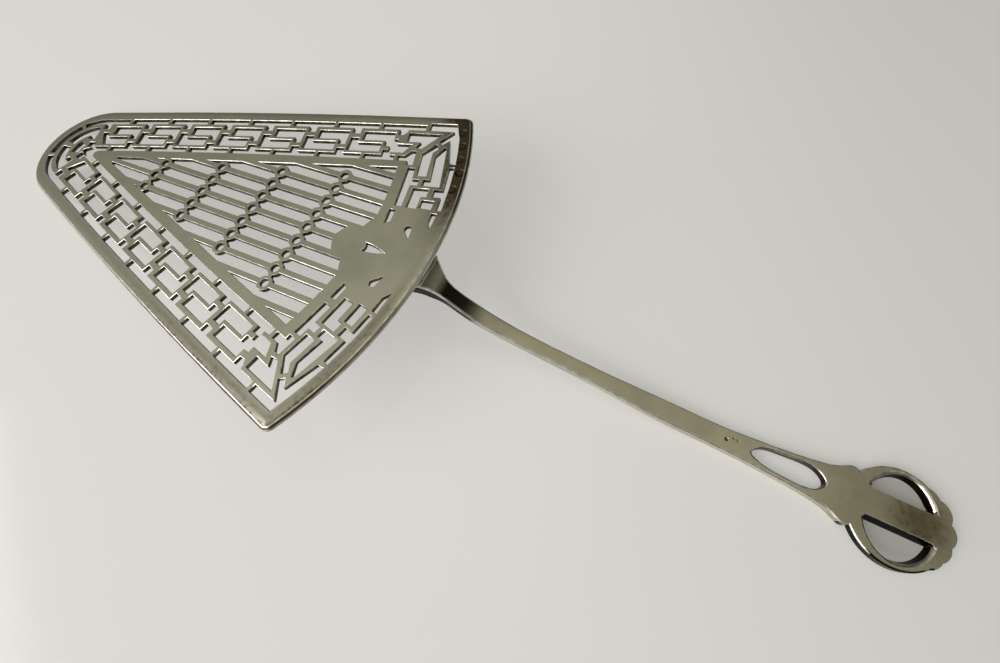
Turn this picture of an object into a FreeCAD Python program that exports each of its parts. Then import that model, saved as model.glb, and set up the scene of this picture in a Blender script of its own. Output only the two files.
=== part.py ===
import FreeCAD, Part
import math
import os

# A silver fish slice of one pierced, wedge-shaped blade and one cast handle.
# Millimetres. X runs from the blade's tip to the handle's end, Z is up, and
# the slice lies as on a table: on the blade's tip and the handle's flat end.

# Blade outline, measured in the plane of the blade from its tip
blade_length = 152.9
plate_thickness = 1.3
tip_core = 0.45          # the border's rows bend round this much at the tip
tip_lean = 17.4          # degrees to the axis, where a long side leaves the tip
side_radius = 1900.0     # the long sides bow out a little
back_radius = 111.6
corner_radius = 2.6
edge_chamfer = 0.7
blade_tilt = 9.6         # degrees, tip down

# Rows of the fret, measured inward from the long sides
rim_width = 4.2
outer_slot_width = 2.1
outer_bar = 1.4
low_arm_width = 3.5
middle_bar = 1.1
high_arm_width = 3.4
inner_bar = 1.15
inner_slot_width = 1.95
inner_band = 2.7
rim_tip_ease = 0.9       # the rim is narrower at the tip by this

# Fret units along a long side, from its outer tabs
fret_pitch = 15.63       # stretched a little, so that whole units fill the side
first_tab = 9.24
last_tab_gap = {1: 12.9, -1: 12.03}     # from the last tab to the corner, on each side
outer_tab_width = 1.25
inner_tab_width = 1.15
inner_tab_shift = -2.5
last_inner_tab_shift = -6.9
outer_leg = (6.8, 9.5)
low_arm = (-4.6, 5.85)
low_leg = (3.35, 5.85)
high_arm = (7.1, 18.1)
high_leg = (7.1, 9.85)
inner_leg = (3.55, 6.3)
outer_leg_reach = 2.3
low_leg_reach = 2.1
high_leg_reach = 1.9
inner_leg_reach = 1.95
leg_overlap = 0.3

# Fret round the tip, in degrees from the axis
tip_slot = {1: 31.5, -1: 19.5}
tip_tab_angle = 5.0
tip_low_arm_start = 5.0
tip_low_arm_stop = 10.2
tip_high_arm_end = 21.0
tip_outer_leg = (-0.8, 1.9)
tip_low_leg = (-4.3, -1.7)
tip_inner_leg = (-2.6, 0.2)
tip_inner_edge = 15.95
band_point = 21.3

# Rows of the fret along the back edge, measured inward from it
back_rim = 3.95
back_outer_slot = 1.55
back_outer_bar = 1.4
back_low_arm = 2.8
back_middle_bar = 1.6
back_high_arm = 3.1
back_inner_bar = 1.4
back_inner_slot = 2.2
back_inner_band = 3.5
cartouche_half_width = 18.0
corner_zone = 20.475     # length of the back edge that the mitred corner takes

# Hand-sawn differences between the two halves of the back border
back_slot_start = {1: 0.3, -1: 4.5}
back_unit_shift = {1: -1.6, -1: 0.0}
small_hole_span = {1: (0.5, 3.6), -1: (-0.7, 5.6)}
small_hole_growth = {1: 0.9, -1: 0.0}
inner_dart_start = {1: -7.5, -1: -3.9}
outer_dart_start = {1: -6.2, -1: -7.7}
dart_inset = {1: 0.7, -1: 0.0}
corner_rim = {1: 3.3, -1: 4.2}
corner_back_growth = {1: 0.8, -1: 0.0}

# Central lattice
bar_spacing = 4.98
bar_width = 1.8
ring_diameter = 4.6
ring_hole = 2.5
ring_link = 1.1
first_ring_column = 51.2
ring_column_pitch = 20.7
ring_columns = 4
saw_start = 2.0          # slots begin blunt, this far from their sharp point

# Cartouche, measured inward from the heel along the axis
cartouche_peak = 30.2
leaf_length = 6.7
leaf_inset = 13.1
leaf_width = 2.7
teardrop_radius = 1.05

# Handle: places are shares of the stem's length, from the heel to the terminal
stem_length = 125.9
handle_thickness = 2.4
neck_thickness = 2.4
flat_start = 0.709
stem_heights = [(0.018, 0.879), (0.033, 0.762), (0.072, 0.576), (0.172, 0.346), (0.343, 0.195),
                (0.534, 0.065)]
stem_half_widths = [(-0.038, 7.2), (0.0, 5.2), (0.033, 2.75), (0.073, 2.35), (0.184, 2.2), (0.311, 2.12),
                    (0.43, 2.35), (0.573, 3.0), (0.708, 3.2), (0.82, 4.05), (0.923, 5.5), (0.955, 6.6),
                    (0.975, 7.9), (0.986, 8.2), (0.996, 7.7), (1.0, 6.9)]
terminal_radius = 13.25
terminal_overlap = 0.57
terminal_shift = -0.4    # the round end was cast a little to one side
lobe_reaches = {-33.0: 9.7, -16.0: 10.3, 4.5: 10.8, 29.5: 10.6, 49.0: 9.5}
lobe_radius = 4.3
eye_shift = (0.6, -0.2)
eye_half_length = 9.6
eye_half_width = 11.8
eye_bar_width = 7.4
eye_bar_shift = 0.6
eye_corner = 1.0
slot_length = 20.0
slot_to_shoulder = 8.1
slot_half_width = 3.15

# Shoe: the fan-shaped foot of the handle, soldered under the heel
shoe_length = 13.0
shoe_half_width = 9.6
shoe_thickness = 1.2

EXTRA = 5.0


def vector(x, y):
    return FreeCAD.Vector(x, y, 0)


def row_edges(*widths):
    """Running sums of widths: the near and far edge of each row."""
    edges = []
    total = 0.0
    for width in widths:
        total = total + width
        edges.append(total)
    return edges


def meeting_point(first, first_radius, second, second_radius):
    """The meeting point of two circles that lies nearer the heel."""
    dx = second[0] - first[0]
    dy = second[1] - first[1]
    apart = math.hypot(dx, dy)
    along = (apart ** 2 + first_radius ** 2 - second_radius ** 2) / (2 * apart)
    across = math.sqrt(first_radius ** 2 - along ** 2)
    offers = []
    for sign in (1, -1):
        x = first[0] + (along * dx - sign * across * dy) / apart
        y = first[1] + (along * dy + sign * across * dx) / apart
        offers.append((x, y))
    return max(offers)


(outer_near, outer_far, low_near, low_far, high_near, high_far, inner_near, inner_far) = row_edges(
    rim_width, outer_slot_width, outer_bar, low_arm_width, middle_bar, high_arm_width,
    inner_bar, inner_slot_width)
(b_outer_near, b_outer_far, b_low_near, b_low_far, b_high_near, b_high_far, b_inner_near,
 b_inner_far) = row_edges(back_rim, back_outer_slot, back_outer_bar, back_low_arm,
                          back_middle_bar, back_high_arm, back_inner_bar, back_inner_slot)
field_margin = inner_far + inner_band
back_field_margin = b_inner_far + back_inner_band

# Circles that carry the outline: the tip, each long side and the back edge
lean = math.radians(tip_lean)
tip_radius = inner_far + tip_core
tip_end_angle = math.pi / 2 - lean
side_start = (tip_radius * (1 - math.sin(lean)), tip_radius * math.cos(lean))
side_centre = (side_start[0] + side_radius * math.sin(lean), side_start[1] - side_radius * math.cos(lean))
back_centre = (blade_length - back_radius, 0.0)
heel_corner = meeting_point(side_centre, side_radius, back_centre, back_radius)
corner_lean = math.atan2(side_centre[0] - heel_corner[0], heel_corner[1] - side_centre[1])
side_span = (lean - corner_lean) * side_radius
back_span = math.atan2(heel_corner[1], heel_corner[0] - back_centre[0]) * back_radius
fret_run = {half: side_span - first_tab - last_tab_gap[half] for half in (1, -1)}
fret_units = round(fret_run[-1] / fret_pitch) + 1
fret_stretch = {half: fret_run[half] / (fret_units - 1) / fret_pitch for half in (1, -1)}
back_run = back_span - corner_zone - cartouche_half_width

# Places of the handle: the blade's heel, the stem's end and the terminal
tilt = math.radians(blade_tilt)
heel_x = blade_length * math.cos(tilt)
heel_z = blade_length * math.sin(tilt)
stem_end = heel_x + stem_length
terminal_centre = stem_end + math.sqrt(terminal_radius ** 2 - stem_half_widths[-1][1] ** 2) - terminal_overlap


def side_point(u, v, half):
    """A point u along a long side and v inward from it; half is +1 or -1."""
    angle = lean - u / side_radius
    x = side_centre[0] - (side_radius - v) * math.sin(angle)
    y = side_centre[1] + (side_radius - v) * math.cos(angle)
    return vector(x, half * y)


def tip_point(angle, v, half):
    """A point of the tip's arc, at an angle from the axis and v inward."""
    radius = tip_radius - v + rim_tip_ease * (1 - (angle / tip_end_angle) ** 2)
    return vector(tip_radius - radius * math.cos(angle), half * radius * math.sin(angle))


def back_point(s, w, half):
    """A point s along the back edge from the axis and w inward from it."""
    angle = s / back_radius
    radius = back_radius - w
    return vector(back_centre[0] + radius * math.cos(angle), half * radius * math.sin(angle))


def face(points):
    return Part.Face(Part.makePolygon(points + [points[0]]))


def strip(place, start, end, near, far, half):
    """A band between two rails of one frame, with curved long sides."""
    middle = (start + end) / 2
    rails = []
    for rail in (near, far):
        rails.append([place(s, rail, half) for s in (start, middle, end)])
    edges = [Part.Arc(*rails[0]).toShape(), Part.makeLine(rails[0][2], rails[1][2]),
             Part.Arc(*rails[1]).toShape(), Part.makeLine(rails[1][0], rails[0][0])]
    return Part.Face(Part.Wire(Part.__sortEdges__(edges)))


def blade_outline():
    """Tip arc, bowed long sides and arched back, with small corners."""
    upper = [side_point(u, 0, 1) for u in (0, side_span / 2, side_span)]
    lower = [side_point(u, 0, -1) for u in (0, side_span / 2, side_span)]
    upper[2] = back_point(back_span, 0, 1)
    lower[2] = back_point(back_span, 0, -1)
    edges = [Part.Arc(lower[0], vector(0, 0), upper[0]).toShape(), Part.Arc(*upper).toShape(),
             Part.Arc(upper[2], back_point(0, 0, 1), lower[2]).toShape(),
             Part.Arc(*reversed(lower)).toShape()]
    return Part.Face(Part.Wire(Part.__sortEdges__(edges)))


def side_fret(half):
    """The running fret of one long side, as the openings to be sawn out."""
    stretch = fret_stretch[half]
    tabs = [first_tab + fret_pitch * stretch * k for k in range(fret_units)]
    openings = []
    for k in range(fret_units - 1):
        span = (outer_tab_width / 2 / stretch, fret_pitch - outer_tab_width / 2 / stretch)
        openings.append(arm(tabs[k], span, outer_near, outer_far, half))
        start = inner_tab_shift + inner_tab_width / 2
        end = fret_pitch + inner_tab_shift - inner_tab_width / 2
        if k == fret_units - 2:
            end = fret_pitch + last_inner_tab_shift - inner_tab_width / 2
        openings.append(arm(tabs[k], (start, end), inner_near, inner_far, half))
        openings.append(leg(tabs[k], inner_leg, inner_near, -inner_leg_reach, half))
        openings.append(leg(tabs[k], outer_leg, outer_far, outer_leg_reach, half))
        openings.append(arm(tabs[k], low_arm, low_near, low_far, half))
        openings.append(leg(tabs[k], low_leg, low_far, low_leg_reach, half))
        if k < fret_units - 2:
            openings.append(arm(tabs[k], high_arm, high_near, high_far, half))
            openings.append(leg(tabs[k], high_leg, high_near, -high_leg_reach, half))
    return openings


def leg(tab, span, rail, reach, half):
    """A short branch from the rail of an opening, starting inside it."""
    return arm(tab, span, rail - math.copysign(leg_overlap, reach), rail + reach, half)


def arm(tab, span, near, far, half):
    """A straight-sided piece of an opening, placed from a tab."""
    corners = [(span[0], near), (span[1], near), (span[1], far), (span[0], far)]
    return face([side_point(tab + u * fret_stretch[half], v, half) for u, v in corners])


def tip_fret():
    """The fret bent round the tip, where the two sides meet."""
    openings = []
    start = -math.radians(tip_slot[-1])
    end = math.radians(tip_slot[1])
    openings.append(strip(tip_point, start, end, outer_near, outer_far, 1))
    reach = math.radians(tip_high_arm_end)
    openings.append(strip(tip_point, -reach, reach, high_near, high_far, 1))
    for half in (1, -1):
        start = math.radians(tip_slot[half] + tip_tab_angle)
        openings.append(strip(tip_point, start, tip_end_angle, outer_near, outer_far, half))
        end = first_tab - outer_tab_width / 2
        openings.append(arm(0, (-leg_overlap, end / fret_stretch[half]), outer_near, outer_far, half))
        openings.append(leg(0, tip_outer_leg, outer_far, outer_leg_reach, half))
        start = math.radians(tip_low_arm_start)
        low_end = tip_end_angle - math.radians(tip_low_arm_stop)
        openings.append(strip(tip_point, start, low_end, low_near, low_far, half))
        openings.append(leg(0, tip_low_leg, low_far, low_leg_reach, half))
        slanted = [(0.6, high_near - high_leg_reach), (3.2, high_near - high_leg_reach),
                   (3.4, high_near), (end + 3.1, high_near), (end + 3.1, high_far), (3.0, high_far)]
        openings.append(face([side_point(u, v, half) for u, v in slanted]))
        openings.append(leg(0, tip_inner_leg, inner_near, -inner_leg_reach, half))
    end = first_tab + (inner_tab_shift - inner_tab_width / 2) * fret_stretch[-1]
    lower = []
    for u, v in ((0, inner_near), (end, inner_near), (end, inner_far), (end - 3.0, inner_far)):
        lower.append(side_point(u, v, -1))
    upper = [vector(point.x, -point.y) for point in reversed(lower)]
    openings.append(face([vector(tip_inner_edge, 0)] + lower + [vector(band_point, 0)] + upper))
    return openings


def corner_fret(half):
    """The mitred openings where a long side meets the back edge."""
    last_tab = side_span - last_tab_gap[half]
    low = [(-6.7, low_near), (5.3, low_near), (0.2, high_near + 1.5), (-2.0, high_near + 1.1),
           (-0.7, low_far), (-6.7, low_far)]
    high = [(-10.3, high_near - high_leg_reach), (-8.1, high_near - high_leg_reach),
            (-8.1, high_near), (-3.2, high_near), (-5.2, high_far), (-10.3, high_far)]
    inner = [(-6.3, inner_near), (-4.2, inner_near), (-2.6, inner_near - inner_leg_reach),
             (-1.0, inner_near - inner_leg_reach), (-0.8, inner_far + 1.5), (-2.9, inner_far + 1.5),
             (-2.9, inner_far), (-6.3, inner_far)]
    openings = []
    for outline in (low, high, inner):
        openings.append(face([side_point(last_tab + u, v, half) for u, v in outline]))
    rim = corner_rim[half]
    side_rim = side_radius - rim
    back_rim_radius = back_radius - b_outer_near - corner_back_growth[half]
    x, y = meeting_point(side_centre, side_rim, back_centre, back_rim_radius)
    start = last_tab + outer_tab_width / 2
    outline = [side_point(start, rim, half), vector(x, half * y)]
    for s, w in ((8.9, b_outer_near), (13.9, b_outer_near), (corner_zone - 1.2, b_outer_near),
                 (corner_zone - 1.6, b_outer_far + 0.3), (9.0, b_low_near - 0.2), (10.6, b_low_far - 0.9),
                 (9.1, b_high_near - 1.3), (5.4, b_outer_far)):
        outline.append(back_point(back_span - s, w, half))
    outline.append(side_point(start, outer_far, half))
    openings.append(face(outline))
    return openings


def back_fret(half):
    """One half of the back border, between the corner and the cartouche."""
    stretch = back_run / 16.9
    shift = back_unit_shift[half]
    leg_start = 6.5 + shift
    leg_end = 9.7 + shift
    step = 10.9 + shift
    fork = 13.4 + shift
    inner = [(back_slot_start[half], b_inner_far), (back_slot_start[half], b_inner_near), (step, b_inner_near),
             (step, b_high_far - 0.8), (fork, b_high_far - 0.8), (fork, b_inner_near), (16.7, b_inner_near),
             (16.9, b_inner_far)]
    high = [(0.1, b_high_far), (0.1, b_high_near), (leg_start, b_high_near), (leg_start, b_low_far),
            (leg_end, b_low_far), (leg_end, b_high_far)]
    start, end = small_hole_span[half]
    far = b_low_far + small_hole_growth[half]
    low = [(start, far), (start, b_low_near), (end, b_low_near), (end, far)]
    outer = [(0.5, b_outer_far), (0.5, b_outer_near), (8.5, b_outer_near), (16.9, b_outer_near),
             (16.8, b_outer_far), (leg_end - 0.1, b_outer_far), (leg_end - 0.1, b_low_near + 1.2),
             (leg_start + 0.3, b_low_near + 1.2), (leg_start + 0.3, b_outer_far)]
    s = inner_dart_start[half]
    near = b_inner_near + dart_inset[half]
    far = b_inner_far + dart_inset[half]
    inner_dart = [(s, far - 0.4), (s + 1.1, near + 0.3), (s + 6.0, near + 0.4), (s + 6.0, far)]
    s = outer_dart_start[half]
    near = b_outer_near + dart_inset[half]
    far = b_outer_far + dart_inset[half]
    outer_dart = [(s, near + 0.2), (-0.8, near), (-0.8, far), (s + 2.4, far)]
    inner_chevron = [(fork + 1.6, b_high_far + 0.5), (fork + 1.4, b_high_near + 0.5), (23.4, b_high_near + 0.2),
                     (25.3, b_low_far - 0.1), (27.0, b_high_near - 0.6), (23.4, b_high_far + 0.3)]
    outer_chevron = [(step, b_high_near + 0.9), (step - 0.2, b_low_near), (24.6, b_low_near + 0.5),
                     (25.4, b_low_near + 1.1), (22.0, b_high_near - 0.8), (fork, b_high_near - 0.9),
                     (fork, b_high_near + 0.9)]
    openings = []
    for outline in (inner, high, low, outer, inner_chevron, outer_chevron, inner_dart, outer_dart):
        places = [(cartouche_half_width + s * stretch, w) for s, w in outline]
        openings.append(face([back_point(s, w, half) for s, w in places]))
    drop = [back_point(10.2, 10.6, half), back_point(6.9, 9.2, half)]
    openings.append(teardrop(drop[0], drop[1]))
    return openings


def teardrop(centre, point):
    """A round hole drawn out to a point on one side."""
    reach = point.sub(centre)
    touch = math.acos(teardrop_radius / reach.Length)
    turn = math.atan2(reach.y, reach.x)
    sides = []
    for angle in (turn + touch, turn + math.pi, turn - touch):
        sides.append(centre + vector(teardrop_radius * math.cos(angle), teardrop_radius * math.sin(angle)))
    edges = [Part.Arc(*sides).toShape(), Part.makeLine(sides[2], point), Part.makeLine(point, sides[0])]
    return Part.Face(Part.Wire(edges))


def leaf():
    """The pointed opening on the axis of the cartouche."""
    point = vector(blade_length - leaf_inset, 0)
    root = blade_length - leaf_inset - leaf_length
    upper = vector(root, leaf_width / 2)
    lower = vector(root, -leaf_width / 2)
    middle = root + 0.45 * leaf_length
    edges = [Part.Arc(lower, vector(root + 0.5, 0), upper).toShape(),
             Part.Arc(upper, vector(middle, 0.42 * leaf_width), point).toShape(),
             Part.Arc(point, vector(middle, -0.42 * leaf_width), lower).toShape()]
    return Part.Face(Part.Wire(edges))


def field():
    """The wedge inside the border, with the cartouche's peak left in it."""
    apex = side_centre[0] - math.sqrt((side_radius - field_margin) ** 2 - side_centre[1] ** 2)
    back = back_radius - back_field_margin
    corner_x, corner_y = meeting_point(side_centre, side_radius - field_margin, back_centre, back)
    edges = []
    for half in (1, -1):
        chord = [vector(apex, 0), vector(corner_x, half * corner_y)]
        edges.append(Part.makeLine(*chord))
    top = vector(back_centre[0] + back, 0)
    edges.append(Part.Arc(vector(corner_x, corner_y), top, vector(corner_x, -corner_y)).toShape())
    wedge = Part.Face(Part.Wire(Part.__sortEdges__(edges)))
    peak = blade_length - cartouche_peak
    right = blade_length
    crest = [(peak, 0), (peak + 0.4, 1.2), (peak + 2.1, 4.3), (peak + 6.5, 5.9), (peak + 7.8, 9.2), (right, 9.2)]
    outline = [vector(x, y) for x, y in crest] + [vector(x, -y) for x, y in reversed(crest[1:])]
    return wedge.cut(face(outline))


def lattice():
    """Bars along the axis, and columns of linked rings across them."""
    metal = []
    apex = side_centre[0] - math.sqrt((side_radius - field_margin) ** 2 - side_centre[1] ** 2)
    for row in range(-ring_columns - 1, ring_columns + 2):
        y = row * bar_spacing
        metal.append(Part.makePlane(blade_length, bar_width, FreeCAD.Vector(0, y - bar_width / 2, 0)))
    for row in range(ring_columns + 2):
        for half in (1, -1):
            y = row * bar_spacing + bar_width / 2
            x = apex + y / math.tan(lean)
            plug = [(x - 1, 0), (x + saw_start, 0), (x + saw_start, 1), (x - 1, 1)]
            metal.append(face([vector(px, half * (y - leg_overlap + py)) for px, py in plug]))
    for column in range(1, ring_columns + 1):
        x = first_ring_column + (column - 1) * ring_column_pitch
        reach = column * bar_spacing
        metal.append(Part.makePlane(ring_link, 2 * reach, FreeCAD.Vector(x - ring_link / 2, -reach, 0)))
        for y in ring_places(column):
            metal.append(Part.Face(Part.Wire(Part.makeCircle(ring_diameter / 2, vector(x, y)))))
    return metal


def ring_places(column):
    return [row * bar_spacing for row in range(-column, column + 1)]


def ring_holes():
    holes = []
    for column in range(1, ring_columns + 1):
        x = first_ring_column + (column - 1) * ring_column_pitch
        for y in ring_places(column):
            holes.append(Part.Face(Part.Wire(Part.makeCircle(ring_hole / 2, vector(x, y)))))
    return holes


def in_place(shape):
    """Tip a shape of the blade's plane so that its tip meets the table."""
    shape.rotate(FreeCAD.Vector(0, 0, 0), FreeCAD.Vector(0, 1, 0), -blade_tilt)
    return shape


def pierced_blade():
    openings = tip_fret() + ring_holes() + [leaf()]
    for half in (1, -1):
        openings = openings + side_fret(half) + corner_fret(half) + back_fret(half)
    openings = openings + field().cut(lattice()).Faces
    blank = blade_outline().extrude(FreeCAD.Vector(0, 0, plate_thickness))
    corners = []
    for edge in blank.Edges:
        upright = abs(edge.Vertexes[0].Z - edge.Vertexes[-1].Z) > plate_thickness / 2
        if upright and edge.Vertexes[0].X > blade_length / 2:
            corners.append(edge)
    blank = blank.makeFillet(corner_radius, corners)
    rim = [edge for edge in blank.Edges if min(v.Z for v in edge.Vertexes) > plate_thickness / 2]
    blank = blank.makeChamfer(edge_chamfer, rim)
    cutters = []
    for opening in openings:
        opening.translate(FreeCAD.Vector(0, 0, -EXTRA))
        cutters.append(opening.extrude(FreeCAD.Vector(0, 0, plate_thickness + 2 * EXTRA)))
    return in_place(blank.cut(cutters).removeSplitter())


def mirrored_outline(half_widths):
    """A closed face whose two curved sides mirror each other over the axis."""
    upper = Part.BSplineCurve()
    upper.interpolate([vector(x, y) for x, y in half_widths])
    lower = Part.BSplineCurve()
    lower.interpolate([vector(x, -y) for x, y in half_widths])
    first, last = half_widths[0], half_widths[-1]
    edges = [upper.toShape(), lower.toShape(),
             Part.makeLine(vector(first[0], first[1]), vector(first[0], -first[1])),
             Part.makeLine(vector(last[0], last[1]), vector(last[0], -last[1]))]
    return Part.Face(Part.Wire(Part.__sortEdges__(edges)))


def handle_slot():
    """The long opening in the stem, blunter towards the terminal."""
    start = stem_end - slot_to_shoulder - slot_length
    places = [(0.0, 0.0), (0.12, 0.62), (0.42, 0.92), (0.74, 1.0), (0.93, 0.62), (1.0, 0.0),
              (0.93, -0.62), (0.74, -1.0), (0.42, -0.92), (0.12, -0.62)]
    points = [vector(start + along * slot_length, across * slot_half_width) for along, across in places]
    curve = Part.BSplineCurve()
    curve.interpolate(Points=points, PeriodicFlag=True)
    return Part.Face(Part.Wire(curve.toShape()))


def terminal():
    """A round end with a scalloped rim."""
    disc = Part.Face(Part.Wire(Part.makeCircle(terminal_radius, vector(terminal_centre, terminal_shift))))
    lobes = []
    for angle, reach in lobe_reaches.items():
        turn = math.radians(angle)
        centre = vector(terminal_centre + reach * math.cos(turn), terminal_shift + reach * math.sin(turn))
        lobes.append(Part.Face(Part.Wire(Part.makeCircle(lobe_radius, centre))))
    return disc.fuse(lobes)


def eyes():
    """Two D-shaped openings, one on each side of the terminal's middle bar."""
    x, y = terminal_centre + eye_shift[0], eye_shift[1]
    oval = Part.Ellipse(vector(x, y + eye_half_width), vector(x + eye_half_length, y), vector(x, y))
    oval = Part.Face(Part.Wire(oval.toShape()))
    bar = Part.makePlane(4 * eye_half_length, eye_bar_width,
                         FreeCAD.Vector(x - 2 * eye_half_length, eye_bar_shift - eye_bar_width / 2, 0))
    rounded = []
    for eye in oval.cut(bar).Faces:
        block = eye.extrude(FreeCAD.Vector(0, 0, 1))
        corners = []
        for edge in block.Edges:
            upright = abs(edge.Vertexes[0].Z - edge.Vertexes[-1].Z) > 0.5
            if upright and abs(edge.Vertexes[0].Y - eye_bar_shift) < eye_bar_width / 2 + 0.01:
                corners.append(edge)
        block = block.makeFillet(eye_corner, corners)
        rounded.append(min(block.Faces, key=lambda side: side.CenterOfMass.z))
    return rounded


def side_profile():
    """The handle's side view: shoe, steep neck, falling stem, flat end."""
    flat_x = heel_x + flat_start * stem_length
    root_x = heel_x + stem_half_widths[0][0] * stem_length
    root_z = root_x * math.tan(tilt)
    end_x = terminal_centre + terminal_radius + EXTRA
    top = [(heel_x + 0.3, heel_z - 0.35)]
    for along, up in stem_heights:
        top.append((heel_x + along * stem_length, handle_thickness + up * (heel_z - handle_thickness)))
    top.append((flat_x, handle_thickness))
    upper = Part.BSplineCurve()
    upper.interpolate([FreeCAD.Vector(x, 0, z) for x, z in top])
    below = [FreeCAD.Vector(root_x, 0, root_z - 1.3 * shoe_thickness)]
    for x, z in top[1:-1]:
        point = FreeCAD.Vector(x, 0, z)
        along = upper.tangent(upper.parameter(point))[0]
        share = (flat_x - x) / (flat_x - heel_x)
        depth = handle_thickness + (neck_thickness - handle_thickness) * share
        below.append(point + FreeCAD.Vector(along.z, 0, -along.x) * depth)
    below.append(FreeCAD.Vector(flat_x, 0, 0))
    lower = Part.BSplineCurve()
    lower.interpolate(below)
    root_top = FreeCAD.Vector(root_x, 0, root_z - shoe_thickness / 2)
    heel = FreeCAD.Vector(top[0][0], 0, top[0][1])
    flat = FreeCAD.Vector(flat_x, 0, handle_thickness)
    end_top = FreeCAD.Vector(end_x, 0, handle_thickness)
    end_low = FreeCAD.Vector(end_x, 0, 0)
    edges = [Part.makeLine(root_top, heel), upper.toShape(), Part.makeLine(flat, end_top),
             Part.makeLine(end_top, end_low), Part.makeLine(end_low, below[-1]), lower.toShape(),
             Part.makeLine(below[0], root_top)]
    return Part.Face(Part.Wire(edges))


def shoe():
    """The fan under the heel: narrow at the heel and round in front."""
    heel = stem_half_widths[1][1]
    back = blade_length
    front = blade_length - shoe_length
    wide = blade_length - 0.62 * shoe_length
    upper = Part.Arc(vector(wide, shoe_half_width), vector(front, 0), vector(wide, -shoe_half_width)).toShape()
    corners = [vector(wide, -shoe_half_width), vector(back, -heel), vector(back, heel), vector(wide, shoe_half_width)]
    plate = Part.Face(Part.Wire([upper] + Part.makePolygon(corners).Edges))
    plate.translate(FreeCAD.Vector(0, 0, -shoe_thickness))
    return in_place(plate.extrude(FreeCAD.Vector(0, 0, shoe_thickness)))


def handle():
    stem = mirrored_outline([(heel_x + along * stem_length, y) for along, y in stem_half_widths])
    plan = stem.fuse(terminal()).removeSplitter()
    plan = plan.cut([handle_slot()] + eyes())
    plan.translate(FreeCAD.Vector(0, 0, -EXTRA))
    upright = plan.extrude(FreeCAD.Vector(0, 0, heel_z + 2 * EXTRA))
    width = 2 * (terminal_radius + EXTRA)
    profile = side_profile()
    profile.translate(FreeCAD.Vector(0, -width / 2, 0))
    body = upright.common(profile.extrude(FreeCAD.Vector(0, width, 0)))
    return body.fuse(shoe()).removeSplitter()


def main():
    os.makedirs("parts", exist_ok=True)
    pieces = {"pierced_blade": pierced_blade(), "handle": handle()}
    for name, shape in pieces.items():
        solids = shape.Solids
        print(name, "solids", len(solids), "valid", shape.isValid(), "volume", round(shape.Volume, 1))
    boxes = [shape.optimalBoundingBox(False, False) for shape in pieces.values()]
    middle = (min(box.XMin for box in boxes) + max(box.XMax for box in boxes)) / 2
    for name, shape in pieces.items():
        solid = shape.Solids[0]
        solid.translate(FreeCAD.Vector(-middle, 0, 0))
        solid.exportStep("parts/" + name + ".step")


main()
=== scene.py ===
import math

import bmesh
import bpy
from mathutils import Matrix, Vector


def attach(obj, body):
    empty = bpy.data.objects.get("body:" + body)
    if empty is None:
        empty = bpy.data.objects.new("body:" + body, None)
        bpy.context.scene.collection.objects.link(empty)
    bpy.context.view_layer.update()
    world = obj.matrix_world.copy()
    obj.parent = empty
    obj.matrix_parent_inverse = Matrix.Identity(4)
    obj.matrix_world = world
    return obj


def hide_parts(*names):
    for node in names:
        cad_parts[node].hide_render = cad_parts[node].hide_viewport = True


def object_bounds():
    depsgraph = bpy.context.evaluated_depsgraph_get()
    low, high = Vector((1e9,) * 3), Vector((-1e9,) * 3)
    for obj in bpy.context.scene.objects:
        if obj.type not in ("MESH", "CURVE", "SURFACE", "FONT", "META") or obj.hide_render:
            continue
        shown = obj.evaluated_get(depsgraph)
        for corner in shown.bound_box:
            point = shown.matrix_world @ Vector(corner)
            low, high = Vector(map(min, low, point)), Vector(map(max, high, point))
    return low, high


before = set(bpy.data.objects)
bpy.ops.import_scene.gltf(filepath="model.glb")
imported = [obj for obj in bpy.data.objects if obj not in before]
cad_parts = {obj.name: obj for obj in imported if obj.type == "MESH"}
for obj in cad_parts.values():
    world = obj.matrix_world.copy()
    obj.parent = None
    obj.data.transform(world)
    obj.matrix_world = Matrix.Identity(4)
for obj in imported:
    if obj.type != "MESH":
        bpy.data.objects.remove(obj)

cad_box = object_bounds()

# The photograph is taken from close above the stem, with a wide lens: the
# camera stands 140 mm over the table and looks down past the blade's heel.
view_lens = bpy.data.cameras.new("photo_view")
view_lens.sensor_width = 36.0
view_lens.lens = 18.151
view_lens.clip_start = 0.002
photo_view = bpy.data.objects.new("photo_view", view_lens)
photo_view.location = (0.04275, -0.05193, 0.14037)
photo_view.rotation_euler = [math.radians(angle) for angle in (22.8518, -1.1185, 25.4539)]
bpy.context.scene.collection.objects.link(photo_view)
bpy.context.scene.camera = photo_view


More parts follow.
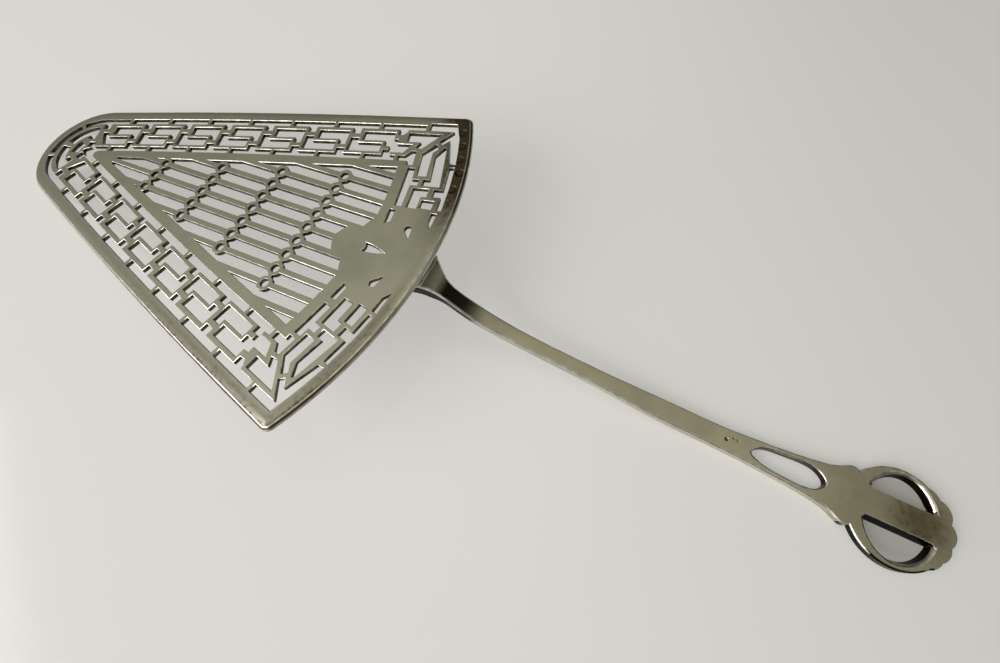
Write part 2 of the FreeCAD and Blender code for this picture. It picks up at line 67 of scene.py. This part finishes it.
# The blade is one flat sheet of silver, pierced with a fine saw. Its face is
# worn to a grey-green satin by long polishing. The edges of the openings are
# rounded and bright, and their walls, where no cloth gets in, are dark.
class Link:
    """A shader socket that takes part in sums and products."""

    def __init__(self, tree, socket=None):
        self.tree = tree
        self.socket = socket

    def node(self, kind, settings=None, output=0, **values):
        made = self.tree.nodes.new("ShaderNode" + kind)
        for name, value in (settings or {}).items():
            setattr(made, name, value)
        for name, value in values.items():
            key = int(name[1:]) if name[0] == "_" else name.replace("_", " ")
            if isinstance(value, Link):
                self.tree.links.new(value.socket, made.inputs[key])
            else:
                made.inputs[key].default_value = value
        return Link(self.tree, made.outputs[output])

    def maths(self, operation, *others):
        values = {"_%d" % place: value for place, value in enumerate(others)}
        return self.node("Math", {"operation": operation}, **values)

    def __add__(self, other):
        return self.maths("ADD", self, other)

    __radd__ = __add__

    def __sub__(self, other):
        return self.maths("SUBTRACT", self, other)

    def __rsub__(self, other):
        return self.maths("SUBTRACT", other, self)

    def __mul__(self, other):
        return self.maths("MULTIPLY", self, other)

    __rmul__ = __mul__

    def between(self, low, high):
        """0 at low and 1 at high, eased in and out."""
        return self.node("MapRange", {"interpolation_type": "SMOOTHSTEP"}, Value=self,
                         From_Min=low, From_Max=high)

    def rising(self, low, high):
        """0 at low and 1 at high, in a straight line."""
        return self.node("MapRange", Value=self, From_Min=low, From_Max=high)

    def along(self, direction):
        """How far this point lies in a direction."""
        return self.node("VectorMath", {"operation": "DOT_PRODUCT"}, "Value", _0=self, _1=direction)

    def from_point(self, point):
        return self.node("VectorMath", {"operation": "DISTANCE"}, "Value", _0=self, _1=point)

    def grain(self, scale, detail=3.0, stretch=(1.0, 1.0, 1.0), turn=0.0):
        """Noise about 0.5, in features of about 1 / scale metres."""
        place = self
        if stretch != (1.0, 1.0, 1.0) or turn:
            place = self.node("Mapping", Vector=self, Rotation=(0.0, 0.0, turn), Scale=stretch)
        return self.node("TexNoise", Vector=place, Scale=scale, Detail=detail, Roughness=0.6)

    def blend(self, low, high):
        """Two colours mixed by this mask."""
        return self.node("Mix", {"data_type": "RGBA"}, 2, _0=self, _6=low, _7=high)


def new_finish(name):
    """A material, its shader, and the place on the piece as a link."""
    material = bpy.data.materials.new(name)
    material.use_nodes = True
    tree = material.node_tree
    return material, tree.nodes["Principled BSDF"], Link(tree).node("TexCoord", None, "Object")


def paint(shader, **links):
    for name, link in links.items():
        link.tree.links.new(link.socket, shader.inputs[name.replace("_", " ")])


def silver(name, clean, dull, stain_colour, marks):
    """Old silver: satin, finely scratched and stained. marks(place) gives its
    brown stains, its black marks and the height of its worn face in metres."""
    material, shader, place = new_finish(name)
    brown, black, height = marks(place)
    cloud = place.grain(45.0, 4.0).between(0.36, 0.64)
    specks = place.grain(700.0, 4.0).between(0.45, 0.7)
    stained = brown * (0.72 + 0.28 * specks)
    hairs = (place.grain(1.0, 2.0, (110.0, 2600.0, 110.0), 0.12)
             + place.grain(1.0, 2.0, (2200.0, 120.0, 110.0), -0.45))
    hair_depth = 0.00001
    colour = (cloud * 0.7 + hairs * 0.3).blend(clean, dull)
    colour = stained.node("Clamp", Value=stained).blend(colour, stain_colour)
    # The black takes real pits and dent marks, and on the handle also painted shade and a painted
    # dark reflection.
    colour = black.node("Clamp", Value=black).blend(colour, (0.018, 0.015, 0.008, 1.0))
    relief = place.node("Bump", Strength=1.0, Distance=1.0, Height=height + hairs * hair_depth)
    paint(shader, Base_Color=colour, Normal=relief,
          Roughness=0.2 + cloud * 0.07 + hairs * 0.07 + stained * 0.15)
    shader.inputs["Metallic"].default_value = 1.0
    return material


def plain_metal(name, colour, deep, roughness):
    """A thin zone of one tone: a sawn wall's dark skin, an edge worn bright, or painted shade on
    the handle's walls.
    """
    material, shader, place = new_finish(name)
    cloud = place.grain(400.0, 4.0)
    paint(shader, Base_Color=cloud.between(0.35, 0.65).blend(colour, deep),
          Roughness=roughness + cloud * 0.2)
    shader.inputs["Metallic"].default_value = 1.0
    return material


def sheet_of(node, extra_blocks=()):
    """A copy of the CAD node, joined with extra blocks, whose flat faces are whole
    and not triangles. Edges shorter than 0.12 mm go, because they can't be rounded."""
    shape = bmesh.new()
    shape.from_mesh(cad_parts[node].data)
    bmesh.ops.remove_doubles(shape, verts=shape.verts, dist=0.00012)
    joined = bpy.data.objects.new("joined", bpy.data.meshes.new("joined"))
    shape.to_mesh(joined.data)
    bpy.context.scene.collection.objects.link(joined)
    for block in extra_blocks:
        union = joined.modifiers.new(block.name, "BOOLEAN")
        union.operation = "UNION"
        union.solver = "EXACT"
        union.object = block
    shape.clear()
    shape.from_object(joined, bpy.context.evaluated_depsgraph_get())
    for helper in (joined, *extra_blocks):
        bpy.data.objects.remove(helper)
    for face in shape.faces:
        face.material_index = 0
    bmesh.ops.remove_doubles(shape, verts=shape.verts, dist=0.00002)
    bmesh.ops.dissolve_limit(shape, angle_limit=math.radians(0.4), verts=shape.verts,
                             edges=shape.edges)
    return shape


def round_off(shape, width, steps, wanted):
    """Rounds the sharp edges for which wanted(edge) is true, and gives them the third finish."""
    sharp = [edge for edge in shape.edges
             if len(edge.link_faces) == 2 and edge.calc_face_angle() > math.radians(28)
             and wanted(edge)]
    bmesh.ops.bevel(shape, geom=sharp, offset=width, segments=steps, profile=0.5,
                    affect="EDGES", clamp_overlap=False, material=2)


def is_wall(face, up):
    return face.material_index == 0 and abs(face.normal.dot(up)) < 0.45


def darken_openings(shape, up):
    """Gives the walls of all openings the second finish, but not the outer edge,
    which is the longest ring of walls."""
    walls = {face for face in shape.faces if is_wall(face, up)}
    openings = []
    while walls:
        ring = [walls.pop()]
        for face in ring:
            for edge in face.edges:
                for other in edge.link_faces:
                    if other in walls:
                        walls.remove(other)
                        ring.append(other)
        openings.append(ring)
    openings.sort(key=len)
    for ring in openings[:-1]:
        for face in ring:
            face.material_index = 1


def finished_piece(shape, name, finishes):
    """The shape as an object, smooth but for its sharp edges."""
    for face in shape.faces:
        face.smooth = True
    for edge in shape.edges:
        edge.smooth = len(edge.link_faces) == 2 and edge.calc_face_angle() < math.radians(38)
    mesh = bpy.data.meshes.new(name)
    shape.to_mesh(mesh)
    shape.free()
    for finish in finishes:
        mesh.materials.append(finish)
    piece = bpy.data.objects.new(name, mesh)
    bpy.context.scene.collection.objects.link(piece)
    shading = piece.modifiers.new("even_shading", "WEIGHTED_NORMAL")
    shading.keep_sharp = True
    shading.weight = 100
    return piece


tilt = math.radians(9.6)
tip = Vector((cad_box[0][0], 0.0, 0.0))
blade_axis = Vector((math.cos(tilt), 0.0, math.sin(tilt)))
blade_up = Vector((-math.sin(tilt), 0.0, math.cos(tilt)))

# The circles of the outline, in the blade's plane and measured from its tip
side_centre = (0.58167, -1.79469)
side_radius = 1.9
side_lean = math.radians(17.4)
back_centre = (0.0413, 0.0)
back_radius = 0.1116
tip_radius = 0.01925
punch_places = ((0.1397, 0.0462), (0.1421, 0.0413), (0.1437, 0.0362), (0.1463, 0.0318),
                (0.1470, 0.0256))


def blade_height(point):
    return (point - tip).dot(blade_up)


plate_heights = [blade_height(corner.co)
                 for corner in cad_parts["pierced_blade"].data.vertices]
plate_low = min(plate_heights)
plate_high = max(plate_heights)
plate = 0.0013


def on_top(edge):
    heights = [blade_height(end.co) for end in edge.verts]
    return min(heights) > 0.4 * plate and max(heights) - min(heights) < 0.3 * plate


def under_blade(edge):
    return max(blade_height(end.co) for end in edge.verts) < 0.1 * plate


def blade_marks(place):
    """Wear and dirt by the distance from the outer edge, and five blank punch dents."""
    along = place.along(blade_axis) - tip.dot(blade_axis)
    across = place.along((0.0, 1.0, 0.0))
    below = 0.0 - across
    spot = place.node("CombineXYZ", None, 0, X=along, Y=across, Z=0.0)
    folded = place.node("CombineXYZ", None, 0, X=along, Y=across.maths("ABSOLUTE", across), Z=0.0)

    # How far in from the nearest edge
    by_side = side_radius - folded.from_point(side_centre + (0.0,))
    by_back = back_radius - folded.from_point(back_centre + (0.0,))
    by_tip = tip_radius - folded.from_point((tip_radius, 0.0, 0.0))
    by_tip = along.maths("MAXIMUM", by_tip, (along - 0.0135) * 10.0)
    inset = along.maths("MINIMUM", by_side, along.maths("MINIMUM", by_back, by_tip))

    # The face falls away at the edge, and the heel has a thin raised lip
    worn = 1.0 - inset.rising(0.0, 0.0026)
    lip = by_back.rising(0.0007, 0.0)
    low_heel = by_back.between(0.008, 0.002) * below.between(0.0, 0.018)

    # Brown stains at the heel, on the rim and at the tip
    rim = inset.between(0.0052, 0.0022)
    heel = by_back.between(0.013, 0.0025) * across.between(0.0, 0.032)
    low_rim = below.between(0.0, 0.02) * along.between(0.03, 0.12)
    crust = inset.between(0.0022, 0.0) * below.between(0.02, 0.045)
    brown = (heel * 1.4 + rim * (0.12 + 0.6 * low_rim) + along.between(0.07, 0.0) * 0.2
             + crust * 0.7)

    ring = 0.0
    dent = 0.0
    for centre in punch_places:
        reach = spot.from_point(centre + (0.0,))
        dent = reach.between(0.0016, 0.0009) + dent
        ring = reach.between(0.0016, 0.0012) * reach.between(0.0006, 0.0012) + ring
    black = dent * 0.15 + ring * 0.75
    height = worn * worn * (-0.00032 - 0.0003 * low_heel) + lip * 0.0004 + dent * -0.0005
    return brown, black, height


def corner_bar(half, last_tab):
    """A block for the bar between a long side's last slot and the corner's first
    opening. Its outline is set out along the side from last_tab, and inward."""
    block = bmesh.new()
    low_ring = []
    high_ring = []
    for u, v in ((-0.00575, 0.0072), (-0.0052, 0.0072), (-0.0052, 0.0117), (-0.0074, 0.0117),
                 (-0.0074, 0.0092)):
        angle = side_lean - (last_tab + u) / side_radius
        x = side_centre[0] - (side_radius - v) * math.sin(angle)
        y = side_centre[1] + (side_radius - v) * math.cos(angle)
        corner = tip + blade_axis * x + Vector((0.0, half * y, 0.0))
        low_ring.append(block.verts.new(corner + blade_up * plate_low))
        high_ring.append(block.verts.new(corner + blade_up * plate_high))
    block.faces.new(low_ring)
    block.faces.new(high_ring)
    for k in range(len(low_ring)):
        block.faces.new((low_ring[k - 1], low_ring[k], high_ring[k], high_ring[k - 1]))
    bmesh.ops.recalc_face_normals(block, faces=block.faces)
    mesh = bpy.data.meshes.new("corner_bar")
    block.to_mesh(mesh)
    block.free()
    bar = bpy.data.objects.new("corner_bar", mesh)
    bpy.context.scene.collection.objects.link(bar)
    return bar


blade_shape = sheet_of("pierced_blade", [corner_bar(1, 0.11778), corner_bar(-1, 0.11865)])
round_off(blade_shape, width=0.00019, steps=2, wanted=on_top)
round_off(blade_shape, width=0.0001, steps=1, wanted=under_blade)
for corner in blade_shape.verts:
    height = blade_height(corner.co)
    corner.co += blade_up * (min(max(height, plate_low), plate_high) - height)
darken_openings(blade_shape, blade_up)
blade_silver = silver("blade_silver", (0.69, 0.69, 0.62, 1.0), (0.50, 0.51, 0.455, 1.0),
                      (0.09, 0.072, 0.048, 1.0), blade_marks)
sawn_silver = plain_metal("sawn_silver", (0.13, 0.10, 0.075, 1.0), (0.035, 0.027, 0.02, 1.0), 0.28)
worn_edge = plain_metal("worn_edge", (0.80, 0.79, 0.76, 1.0), (0.48, 0.47, 0.43, 1.0), 0.2)
blade = finished_piece(blade_shape, "blade", (blade_silver, sawn_silver, worn_edge))
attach(blade, "root")
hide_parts("pierced_blade")

# The handle is cast and filed in one piece with the fan-shaped shoe that is
# soldered under the heel. Its thick stem has rounded edges, and its round end
# has two D-shaped eyes with wide bright lips and a worn scalloped rim.
round_end = Vector((0.1362, -0.0004, 0.0))
bar_middle = 0.0006
stem_top = 0.0024


def beside_eye(point):
    flat = Vector((point.x, point.y, 0.0))
    return (flat - round_end).length < 0.0124 and point.x > 0.1265


def by_an_eye(edge):
    middle = (edge.verts[0].co + edge.verts[1].co) / 2
    return beside_eye(middle) and min(end.co.z for end in edge.verts) > 0.001


def on_bar(edge):
    return max(abs(end.co.y - bar_middle) for end in edge.verts) < 0.0044


def on_face(edge):
    return any(face.normal.z > 0.45 for face in edge.link_faces)


def handle_marks(place):
    """Brown on the round end and its bar, black in the bend as a painted dark reflection
    and on the shoe under the blade as painted shade, and one deep and two small pits from the
    casting in the stem."""
    end = place.along((1.0, 0.0, 0.0))
    bar = place.from_point((0.1415, 0.001, stem_top)).between(0.012, 0.002)
    brown = end.between(0.100, 0.128) * 0.3 + bar * 0.95 + end.between(0.012, 0.002) * 0.55
    # Painted dark reflection in the neck's bend, and painted shade on the shoe under the blade.
    bend = end.between(0.0020, 0.0045) * end.between(0.0175, 0.0095)
    shoe = end.between(0.001, -0.003)
    deep = place.from_point((0.0900, 0.0, stem_top)).between(0.0006, 0.0003)
    small = (place.from_point((0.0918, 0.0011, stem_top)).between(0.0004, 0.0002)
             + place.from_point((0.0930, 0.0009, stem_top)).between(0.0004, 0.0002))
    black = bend * 0.95 + shoe * 0.75 + deep * 0.8 + small * 0.4
    return brown, black, deep * -0.0003 + small * -0.0001


handle_shape = sheet_of("handle")
eye_slope = 0.0009
for foot in handle_shape.verts:
    if foot.co.z < 0.0005 and beside_eye(foot.co):
        walls = [face.normal for face in foot.link_faces if abs(face.normal.z) < 0.3]
        foot.co += sum(walls, Vector()).normalized() * eye_slope
handle_shape.normal_update()
round_off(handle_shape, width=0.0007, steps=3,
          wanted=lambda edge: by_an_eye(edge) and not on_bar(edge))
round_off(handle_shape, width=0.00015, steps=2,
          wanted=lambda edge: by_an_eye(edge) and on_bar(edge))
round_off(handle_shape, width=0.0005, steps=3,
          wanted=lambda edge: not by_an_eye(edge) and on_face(edge))
for corner in handle_shape.verts:
    corner.co.z = max(corner.co.z, 0.0)
upright = Vector((0.0, 0.0, 1.0))
darken_openings(handle_shape, upright)
# Painted shade: the outer walls at the round end, neck and shoe, and the round end's lower flank,
# get the near-black finish for their shade and dark reflection.
for face in handle_shape.faces:
    middle = face.calc_center_median()
    painted_shade_wall = is_wall(face, upright) and (middle.x > 0.122 or middle.x < 0.012)
    painted_shade_flank = middle.x > 0.1305 and middle.y < -0.009 and face.normal.y < -0.2
    if painted_shade_wall or painted_shade_flank:
        face.material_index = 1
handle_silver = silver("handle_silver", (0.74, 0.71, 0.59, 1.0), (0.56, 0.535, 0.43, 1.0),
                       (0.21, 0.17, 0.115, 1.0), handle_marks)
# Near-black: the eyes' dark patina deepened as painted shade, and painted shade on the outer walls
# and lower flank.
patina_and_painted_shade = plain_metal("patina_and_painted_shade", (0.035, 0.028, 0.022, 1.0), (0.01, 0.008, 0.006, 1.0), 0.2)
handle = finished_piece(handle_shape, "handle_bright", (handle_silver, patina_and_painted_shade, worn_edge))
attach(handle, "root")
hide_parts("handle")

# The slice lies on a white, slightly glossy table top. Its glow for camera
# and glossy rays is painted light that keeps its white and half of the object's
# soft shadow; the glow fades towards +x as painted shade.
reach = 1.6
table_corners = [(-reach, -reach, 0), (reach, -reach, 0), (reach, reach, 0), (-reach, reach, 0)]
table_mesh = bpy.data.meshes.new("table_top")
table_mesh.from_pydata(table_corners, [], [(0, 1, 2, 3)])
table_top = bpy.data.objects.new("table_top", table_mesh)
table_top.location.z = -0.00003
bpy.context.scene.collection.objects.link(table_top)
table_white, table_shader, table_place = new_finish("table_white")
table_shader.inputs["Roughness"].default_value = 0.12
# Painted shade: the glow is darker towards +x.
side = table_place.along((1.0, 0.35, 0.0)).between(0.0, 0.2)
# Painted shadow: inside the round end's eyes the table's colour and glow are darker.
painted_eye_shadow = table_place.from_point((0.1375, 0.0005, 0.0)).between(0.014, 0.009)
paint(table_shader, Base_Color=painted_eye_shadow.blend((0.80, 0.79, 0.77, 1.0), (0.50, 0.50, 0.48, 1.0)))
white = side.blend((0.69, 0.685, 0.68, 1.0), (0.55, 0.555, 0.55, 1.0))
glow = table_place.node("Emission", Color=painted_eye_shadow.blend(white, (0.26, 0.26, 0.25, 1.0)))
seen = (table_place.node("LightPath", None, "Is Camera Ray")
        + table_place.node("LightPath", None, "Is Glossy Ray"))
table_tree = table_white.node_tree
lit = Link(table_tree, table_shader.outputs[0])
mixed = seen.node("MixShader", _0=seen * 0.5, _1=lit, _2=glow)
table_tree.links.new(mixed.socket, table_tree.nodes["Material Output"].inputs["Surface"])
table_mesh.materials.append(table_white)

# The room: even grey light from above with a brighter patch overhead, dark
# behind the camera, and a wide low window on the side of the blade's lower
# edge.
room = bpy.data.worlds.new("room")
bpy.context.scene.world = room
room.use_nodes = True
way = Link(room.node_tree).node("TexCoord", None, "Generated")
sky = way.along((-0.25, -0.45, 1.0)).between(-0.2, 1.3)
behind_camera = way.along((0.35, -0.88, 0.32)).between(0.72, 0.95)
overhead = way.along((-0.10, 0.15, 0.98)).between(0.94, 1.0)
backdrop = room.node_tree.nodes["Background"]
backdrop.inputs["Color"].default_value = (1.0, 0.965, 0.74, 1.0)
paint(backdrop, Strength=0.06 + sky * (0.53 - behind_camera * 0.48) + overhead * 0.5)
window = bpy.data.lights.new("window_light", "AREA")
window.shape = "RECTANGLE"
window.size = 1.5
window.size_y = 1.0
window.energy = 23.0
window.color = (1.0, 0.98, 0.95)
window_light = bpy.data.objects.new("window_light", window)
window_light.location = (-0.72, -0.92, 0.62)
window_light.rotation_euler = (-window_light.location).to_track_quat("-Z", "Y").to_euler()
bpy.context.scene.collection.objects.link(window_light)

bpy.context.scene.view_settings.view_transform = "Standard"
